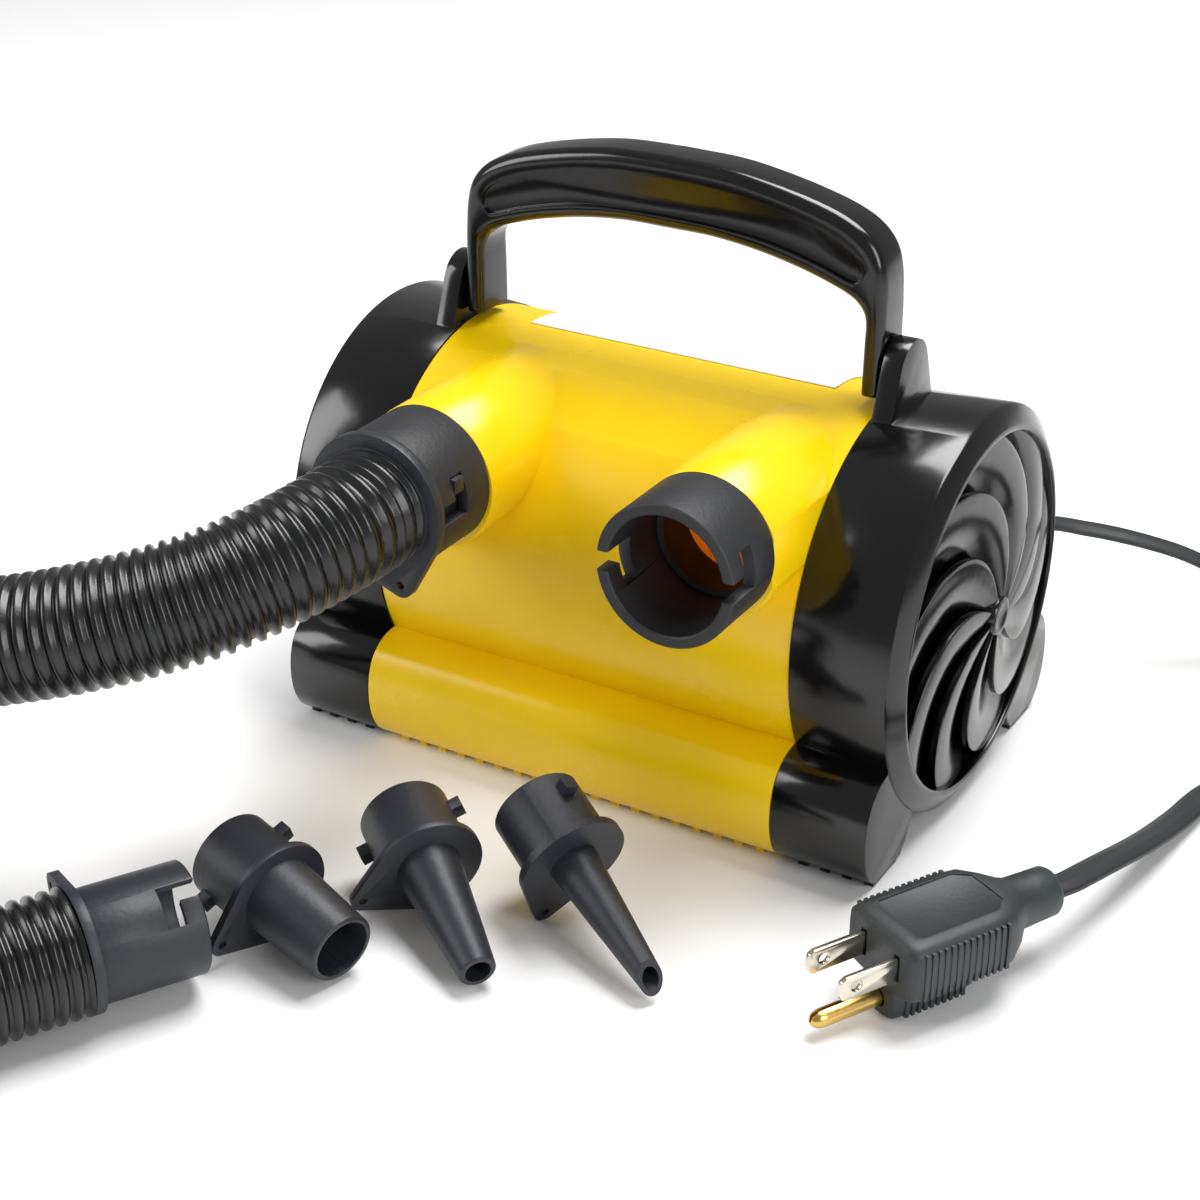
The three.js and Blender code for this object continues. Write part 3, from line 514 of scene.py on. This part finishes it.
# Carry handle: a bow with an oval grip, its edges given by an outer and an inner curve.
grip = {"deep": 7.5, "round": 3.4}
outerEdge = smooth([(0, 168.4), (16, 168), (28, 166.4), (40, 163.9), (50, 161), (57, 157.4),
                    (61.4, 152.4), (63.2, 146), (63.6, 138), (63.6, 126), (63.6, 114.4)], 10)
innerEdge = smooth([(0, 148.7), (13, 148.6), (26, 147.2), (38, 144.8), (48, 141.9), (54, 139.4),
                    (57, 136.4), (58, 133), (58, 129), (58, 122), (58, 114.4)], 10)
outerEdge, innerEdge = resample(outerEdge, 90)[0], resample(innerEdge, 90)[0]
outerEdge = np.vstack([(outerEdge * (-1, 1))[:0:-1], outerEdge])
innerEdge = np.vstack([(innerEdge * (-1, 1))[:0:-1], innerEdge])
middle, reach = (outerEdge + innerEdge) / 2, (outerEdge - innerEdge) / 2
tall = np.linalg.norm(reach, axis=1)
# section: a rounded rectangle, tall either way along the bow and deep across it
corner = np.minimum(grip["round"], tall * 0.8)
ringTurn = np.arange(64) * tau / 64
cosine, sine = np.cos(ringTurn), np.sin(ringTurn)
tiny = 1e-9  # below this a sine or cosine counts as zero
upShare = (np.sign(sine) * ((tall - corner)[:, None] * (np.abs(sine) > tiny))
           + corner[:, None] * sine)
depth = (np.sign(cosine) * (grip["deep"] - corner)[:, None] * (np.abs(cosine) > tiny)
         + corner[:, None] * cosine)
upShare = upShare / tall[:, None]
bow = np.stack([middle[:, None, 0] + reach[:, None, 0] * upShare, depth,
                middle[:, None, 1] + reach[:, None, 1] * upShare], -1)
handle = gridSolid("carryHandle", bow)
recessEdge = smooth([(-44, 147.6), (-26, 151.4), (0, 152.6), (26, 151.4), (44, 147.6),
                     (54, 144.4), (57, 146), (56.6, 149.6), (53, 153), (44, 157), (26, 161.2),
                     (0, 162.8), (-26, 161.2), (-44, 157), (-53, 153), (-56.6, 149.6),
                     (-57, 146), (-54, 144.4)], 5, closed=True)
combine(handle, [prism("recessFront", "xz", recessEdge, -10, -5.9),
                 prism("recessBack", "xz", recessEdge, 5.9, 10)], "DIFFERENCE")
finished(handle, "handle", ["handle"], blackAbs, bevel=0.5, angle=45)
for name, side in (("pinRight", 1), ("pinLeft", -1)):
    pin = turned(name, [(0, 58.3), (1.7, 58.3), (1.7, 68.9), (1.3, 69.4), (0, 69.4)],
                 "right" if side > 0 else "left", (0, 0, 122), 32)
    finished(pin, "pump", [f"handle_pin_{name[3:].lower()}"], steelGround, angle=40)
print("stage: handle")


def jSlot(rim, width, depthIn, leg, inside, outside):
    # mouth at the rim, then a leg to one side; s runs inwards from the rim, along +Y
    w = width / 2
    outline = [(-rim - 2, -w), (-rim - 2, w), (depthIn - rim, w), (depthIn - rim, leg),
               (depthIn + width - rim, leg), (depthIn + width - rim, -w)]
    return prism("slot", "yz", outline, inside, outside)


for name, x in portX.items():
    collar = turned(f"portCollar{name}", [
        (14.2, 50), (17.5, 50), (17.5, 65.6), (19.05, 65.6), (19.05, 86.4), (18.6, 86.9),
        (16.4, 86.9), (15.85, 86.4), (15.85, 62), (14.2, 62)], "front", (0, 0, 0), 112)
    slots = [moved(jSlot(86.9, 5.2, 6, 8.4, 10, 23), turn("y", a)) for a in (0, 180)]
    combine(collar, slots, "DIFFERENCE")
    moved(collar, shift=(x, 0, portZ))
    finished(collar, "pump", [f"port_collar_{name.lower()}"], charcoalAbs, bevel=0.35,
             angle=40)
    hoop = turned("hoop", [(15.4, 40), (17.4, 40), (17.4, 49.4), (15.4, 49.4)], "front",
                  (0, 0, 0), 64)
    fins = [block("fin", u - 0.9, u + 0.9, -47.4, -40, -math.sqrt(16.2 ** 2 - u * u),
                  math.sqrt(16.2 ** 2 - u * u)) for u in (-8.4, -2.8, 2.8, 8.4)]
    guard = moved(join(f"portGuard{name}", [hoop] + fins), shift=(x, 0, portZ))
    finished(guard, "pump", [f"port_guard_{name.lower()}"], amberPlastic, bevel=0.3,
             angle=40)
print("stage: ports")

# Label: a plain blank sticker along the top of the barrel.
labelTurn = np.radians(np.linspace(0, 24, 40))[None, :]
labelX = np.linspace(-46.5, 48, 3)[:, None]
sheets = []
for r in (54.12, 54.4):
    sheets.append(np.stack([labelX + 0 * labelTurn, r * np.sin(labelTurn) + 0 * labelX,
                            axisZ + r * np.cos(labelTurn) + 0 * labelX], -1))
label = gridSolid("blankLabel", np.concatenate([sheets[0], sheets[1][:, ::-1]], 1))
finished(label, "pump", ["label"], labelVinyl, angle=30)


# Finger flange of a bayonet fitting: a disc drawn out to a small rounded tip, with a hole in it.
def flange(discRadius, tipAt, tipRadius, thick, hole, tipAngle, bore=0.0):
    touch = math.acos((discRadius - tipRadius) / tipAt)
    big = np.linspace(touch, tau - touch, 72)
    small = np.linspace(-touch, touch, 20)
    disc = discRadius * np.stack([np.cos(big), np.sin(big)], 1)
    tip = np.stack([tipAt + tipRadius * np.cos(small), tipRadius * np.sin(small)], 1)
    outline = np.vstack([disc, tip])
    plate = prism("flange", "xz", outline, -thick, 0)
    cutters = [turned("hole", [(0, -1), (hole, -1), (hole, thick + 1), (0, thick + 1)], "front",
                      (tipAt, 0, 0), 24)]
    if bore:
        cutters.append(turned("bore", [(0, -1), (bore, -1), (bore, thick + 1), (0, thick + 1)],
                              "front", (0, 0, 0), 72))
    combine(plate, cutters, "DIFFERENCE")
    return moved(plate, turn("y", -tipAngle))


male = turned("male", [(12.6, 66), (15.2, 66), (15.4, 66.3), (15.4, 87.2), (16.6, 87.3), (16.6, 91),
                       (12.6, 91)], "front", (0, 0, 0), 96)
tab = moved(flange(20, 21.5, 3.6, 3, 1.1, -70, 14), shift=(0, -87.4, 0))
pegs = [block("peg", 14.4, 18.6, -80.6, -76.6, 4, 8),
        block("peg", -18.6, -14.4, -80.6, -76.6, -8, -4)]
coupling = moved(join("hoseCoupling", [male, tab] + pegs), shift=(portX["Left"], 0, portZ))
finished(coupling, "coupling", ["hose_coupling"], satinPolypropylene, bevel=0.3,
         angle=40)

sleeve = turned("sleeve", [(12.2, -27), (14.3, -27), (14.3, -0.4), (13.9, 0), (12.6, 0),
                           (12.2, -0.4)], "front", (0, 0, 0), 96)
combine(sleeve, [moved(jSlot(0, 4.6, 5, 8, 8, 18), turn("y", a)) for a in (-117, 63)],
        "DIFFERENCE")
cuffTab = moved(flange(16, 17.6, 3.2, 2.6, 1, 35, 12.2), shift=(0, cuffPlace["length"], 0))
cuff = join("hoseCuff", [sleeve, cuffTab])
moved(cuff, turn("z", cuffPlace["heading"]), cuffPlace["mouth"])
cuff = finished(cuff, "pump", ["hose_cuff"], satinPolypropylene, bevel=0.3,
                angle=40)


# Loose nozzle: a socket end with pegs and a flange, then its own outline; it lies with its front
# end down by dip degrees, turned by heading, and is lowered until it stands as the solid does.
def nozzle(name, node, body, outline, bore, place, heading, dip, tipAngle, slant=None):
    tube = turned("body", [(0, -18), (11.4, -18), (11.8, -17.6), (11.8, 0.4)] + outline, "front",
                  (0, 0, 0), 96)
    flat = flange(14.4, 18.4, 3.2, 2.2, 1.1, tipAngle)
    peg = [moved(block("peg", 10.8, 14.6, 10, 13.6, -1.9, 1.9), turn("y", a - tipAngle))
           for a in (0, 180)]
    combine(tube, [flat] + peg, "UNION")
    combine(tube, [turned("bore", [(0, -19), (10, -19)] + bore, "front", (0, 0, 0), 72)],
            "DIFFERENCE")
    if slant:
        combine(tube, [slant], "DIFFERENCE")
    tube.name = name
    moved(moved(tube, turn("x", dip)), turn("z", heading), (*place, 0))
    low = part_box(node)[0][2] / mm
    co = np.zeros(len(tube.data.vertices) * 3)
    tube.data.vertices.foreach_get("co", co)
    moved(tube, shift=(0, 0, low - co[2::3].min() / mm))
    finished(tube, body, [node], satinPolypropylene, bevel=0.3)


nozzle("nozzleWide", "nozzle_wide", "wide_nozzle", [(10.4, 0.4), (9.1, 26.6), (8.7, 27), (0, 27)],
       [(8.6, 0), (7.6, 28), (0, 28)], (-29, -151), 75, 8.6, 203)
nozzle("nozzleTaper", "nozzle_taper", "taper_nozzle", [(8.6, 0.4), (4.8, 38.6), (4.4, 39), (0, 39)],
       [(6.9, 0), (3.2, 40), (0, 40)], (-3.7, -121), 53, 12.4, 202)
slantCut = moved(moved(block("slant", -10, 10, -20, 6, -10, 10), turn("x", -42)),
                 shift=(0, -42.5, 6.5))
nozzle("nozzleFine", "nozzle_fine", "fine_nozzle", [(6.6, 0.4), (6.2, 5), (3, 45), (0, 45)],
       [(5, 0), (4.8, 5), (1.8, 46), (0, 46)], (31, -108), 62, 20, 255, slantCut)
print("stage: fittings")

# Strain relief: a flange and five ribs around the lead where it leaves the cap.
reliefRibs = {"count": 5, "first": 59.6, "pitch": 2.5, "radius": 5.5, "narrowing": 0.12}
reliefRings = [(0, 50), (4.3, 50), (4.3, 55.9), (6.4, 55.9), (6.4, 58.6), (5.6, 58.6)]
for i in range(reliefRibs["count"]):
    y = reliefRibs["first"] + i * reliefRibs["pitch"]
    w = reliefRibs["radius"] - reliefRibs["narrowing"] * i
    reliefRings += [(w, y), (w - 0.9, y + 0.2), (w - 0.9, y + 1.1), (w, y + 1.3)]
reliefRings += [(4.9, 72), (0, 72)]
relief = turned("strainRelief", reliefRings, "back", (77, 0, 48), 48)
combine(relief, [turned("reliefBore", [(0, 66), (4.0, 66), (4.0, 80), (0, 80)], "back",
                        (77, 0, 48), 32)], "DIFFERENCE")
relief = finished(relief, "pump", ["strain_relief"], charcoalAbs, bevel=0.2,
                  angle=40)

# Plug body: sections along its length are rounded rectangles that narrow into the round neck.
plug = {"ribs": 15, "ribPitch": 1.9, "bladeApart": 12.7, "bladeHeight": 17, "earthHeight": 5.1}
bladeSide, earthZ = plug["bladeApart"] / 2, plug["earthHeight"]
stations = np.array([0, -0.8, -3, -8, -14, -20, -26, -31, -35, -38, -40, -46, -51, -52.0])
halfWide = np.array([12.0, 12.9, 13.3, 13.4, 13.4, 13.4, 13.4, 12.8, 10.6, 7.9, 6.9, 6.6, 6.4, 5.8])
lowSide = np.array([9.6, 8.9, 8.6, 8.6, 8.6, 8.6, 8.6, 8.7, 9.2, 10.0, 10.3, 10.5, 10.6, 11.2])
topSide = np.array([24.4, 25.0, 25.3, 25.4, 25.4, 25.4, 25.4, 25.2, 24.8, 24.0, 23.7, 23.5, 23.4,
                    22.8])
turnAround = np.arange(56) * tau / 56
power = np.interp(stations, [-52, -40, -31, 0], [1, 1, 0.42, 0.36])[:, None]
pc, ps = np.cos(turnAround), np.sin(turnAround)
squareC = np.sign(pc) * np.abs(pc) ** power
squareS = np.sign(ps) * np.abs(ps) ** power
midHigh, halfHigh = (lowSide + topSide) / 2, (topSide - lowSide) / 2
plugGrid = np.stack([stations[:, None] + 0 * squareC, halfWide[:, None] * squareC,
                     midHigh[:, None] + halfHigh[:, None] * squareS], -1)
plugBody = gridSolid("plugBody", plugGrid)
# the lobe under the body, which holds the earth pin
lobeStations = np.array([0, -0.8, -4, -12, -19, -23, -26, -28.6])
lobeLow = np.array([0.9, 0.4, 0.2, 0.2, 0.3, 1.4, 3.8, 8.0])
lobeHalf = np.array([6.2, 6.8, 7, 7, 7, 6.8, 6.2, 5.0])
lobeMid, lobeTall = (lobeLow + 12) / 2, (12 - lobeLow) / 2
lobeGrid = np.stack([lobeStations[:, None] + 0 * pc,
                     lobeHalf[:, None] * np.sign(pc) * np.abs(pc) ** 0.6,
                     lobeMid[:, None] + lobeTall[:, None] * np.sign(ps) * np.abs(ps) ** 0.6], -1)
earthLobe = gridSolid("earthLobe", lobeGrid)
combine(plugBody, [earthLobe], "UNION")
panel = np.array([(-4.5, -7.4), (-4.5, 7.4), (-6, 9), (-28, 9), (-32, 6), (-32, -6), (-28, -9),
                  (-6, -9)])
socketCuts = [prism("panel", "xy", panel, 24.7, 27)]
socketCuts += [block("socket", -8, 2, s * bladeSide - 1.1, s * bladeSide + 1.1, 13.4, 20.6)
               for s in (-1, 1)]
socketCuts += [turned("pinHole", [(0, -8), (2.7, -8), (2.7, 2), (0, 2)], "right",
                      (0, 0, earthZ), 32)]
combine(plugBody, socketCuts, "DIFFERENCE")
ribs = []
for i in range(plug["ribs"]):
    x = -3.6 - i * plug["ribPitch"]
    if x > -30:
        ribs += [block("rib", x - 0.5, x + 0.5, 12.6 * s - 0.95, 12.6 * s + 0.95, 10.6, 23.4)
                 for s in (-1, 1)]
    if x > -21:
        ribs += [block("rib", x - 0.5, x + 0.5, 6.6 * s - 0.7, 6.6 * s + 0.7, 1.8, 8.4)
                 for s in (-1, 1)]
plugBody = join("plugBody", [plugBody] + ribs)
plugTurn = turn("z", lead["plugTurn"])
moved(plugBody, plugTurn, (*lead["plugFace"], 0))
plugBody = finished(plugBody, "pump", ["plug_body"], plugPvc, bevel=0.25, angle=40)


def atPlug(obj):  # from the plug's own place and direction to where it lies
    return moved(obj, plugTurn, (*lead["plugFace"], 0))


# Blades are flat strips with a round hole, the earth pin is a rod with a domed, slit tip.
for name, node, side in (("bladeLine", "blade_line", 1), ("bladeNeutral", "blade_neutral", -1)):
    strip = prism(name, "xz", [(-7, 13.8), (15.2, 13.8), (16.3, 14.5), (16.6, 15.6), (16.6, 18.4),
                               (16.3, 19.4), (15, 20.17), (-7, 20.17)], -0.75, 0.75)
    combine(strip, [turned("eye", [(0, -2), (1.6, -2), (1.6, 2), (0, 2)], "front",
                           (12, 0, plug["bladeHeight"]), 32)], "DIFFERENCE")
    moved(strip, shift=(0, side * bladeSide, 0))
    finished(atPlug(strip), "pump", [node], nickelPlate, bevel=0.18,
                           angle=30)
pin = turned("earthPin", [(0, -7), (2.38, -7), (2.38, 16), (2.3, 17.2), (2.0, 18.3), (1.5, 19.1),
                          (0.9, 19.6), (0, 19.8)], "right", (0, 0, earthZ), 48)
combine(pin, [block("slit", 9, 22, -0.35, 0.35, earthZ, 9)], "DIFFERENCE")
finished(atPlug(pin), "pump", ["earth_pin"], brassTurned, angle=30)


def refined(name, node, body, material, bevel):  # the solid itself with its edges rounded
    source = frame["nodes"][node]
    copy = bpy.data.objects.new(name, source.data.copy())
    bpy.context.scene.collection.objects.link(copy)
    return finished(tidyMesh(copy), body, [node], material, bevel=bevel, angle=30, segments=3)


refined("switchFrame", "switch_frame", "pump", charcoalAbs, 0.4)
refined("switchRocker", "switch_rocker", "switch", blackAbs, 0.5)
print("stage: plug")

# Floor and studio light.
floorSize = 6.0
floorMesh = bpy.data.meshes.new("floor")
floorMesh.from_pydata([(-floorSize, -floorSize, 0), (floorSize, -floorSize, 0),
                       (floorSize, floorSize, 0), (-floorSize, floorSize, 0)], [], [(0, 1, 2, 3)])
floor = bpy.data.objects.new("floor", floorMesh)
bpy.context.scene.collection.objects.link(floor)
floorMesh.materials.append(finish("paleSeamlessPaper", "#f4f4f4", "#f6f6f6", 0.7, bump=0.0))


def areaLight(name, place, aim, size, power):
    data = bpy.data.lights.new(name, "AREA")
    data.shape, data.size, data.size_y, data.energy = "RECTANGLE", size[0], size[1], power
    obj = bpy.data.objects.new(name, data)
    obj.location = place
    obj.rotation_euler = (Vector(aim) - Vector(place)).to_track_quat("-Z", "Y").to_euler()
    bpy.context.scene.collection.objects.link(obj)


areaLight("topSoftbox", (0.15, 0.35, 1.2), (0, 0, 0.05), (0.8, 0.6), 19)
areaLight("leftSoftbox", (-1.1, -0.8, 0.7), (0, 0, 0.06), (0.5, 0.9), 9)
areaLight("rightSoftbox", (1.3, -0.5, 0.7), (0, 0, 0.06), (0.5, 0.9), 9)
world = bpy.data.worlds.new("studio")
world.use_nodes = True
background = world.node_tree.nodes["Background"]
background.inputs["Color"].default_value = (1, 1, 1, 1)
background.inputs["Strength"].default_value = 0.34
bpy.context.scene.world = world
bpy.context.scene.view_settings.view_transform = "Standard"

bpy.context.view_layer.update()
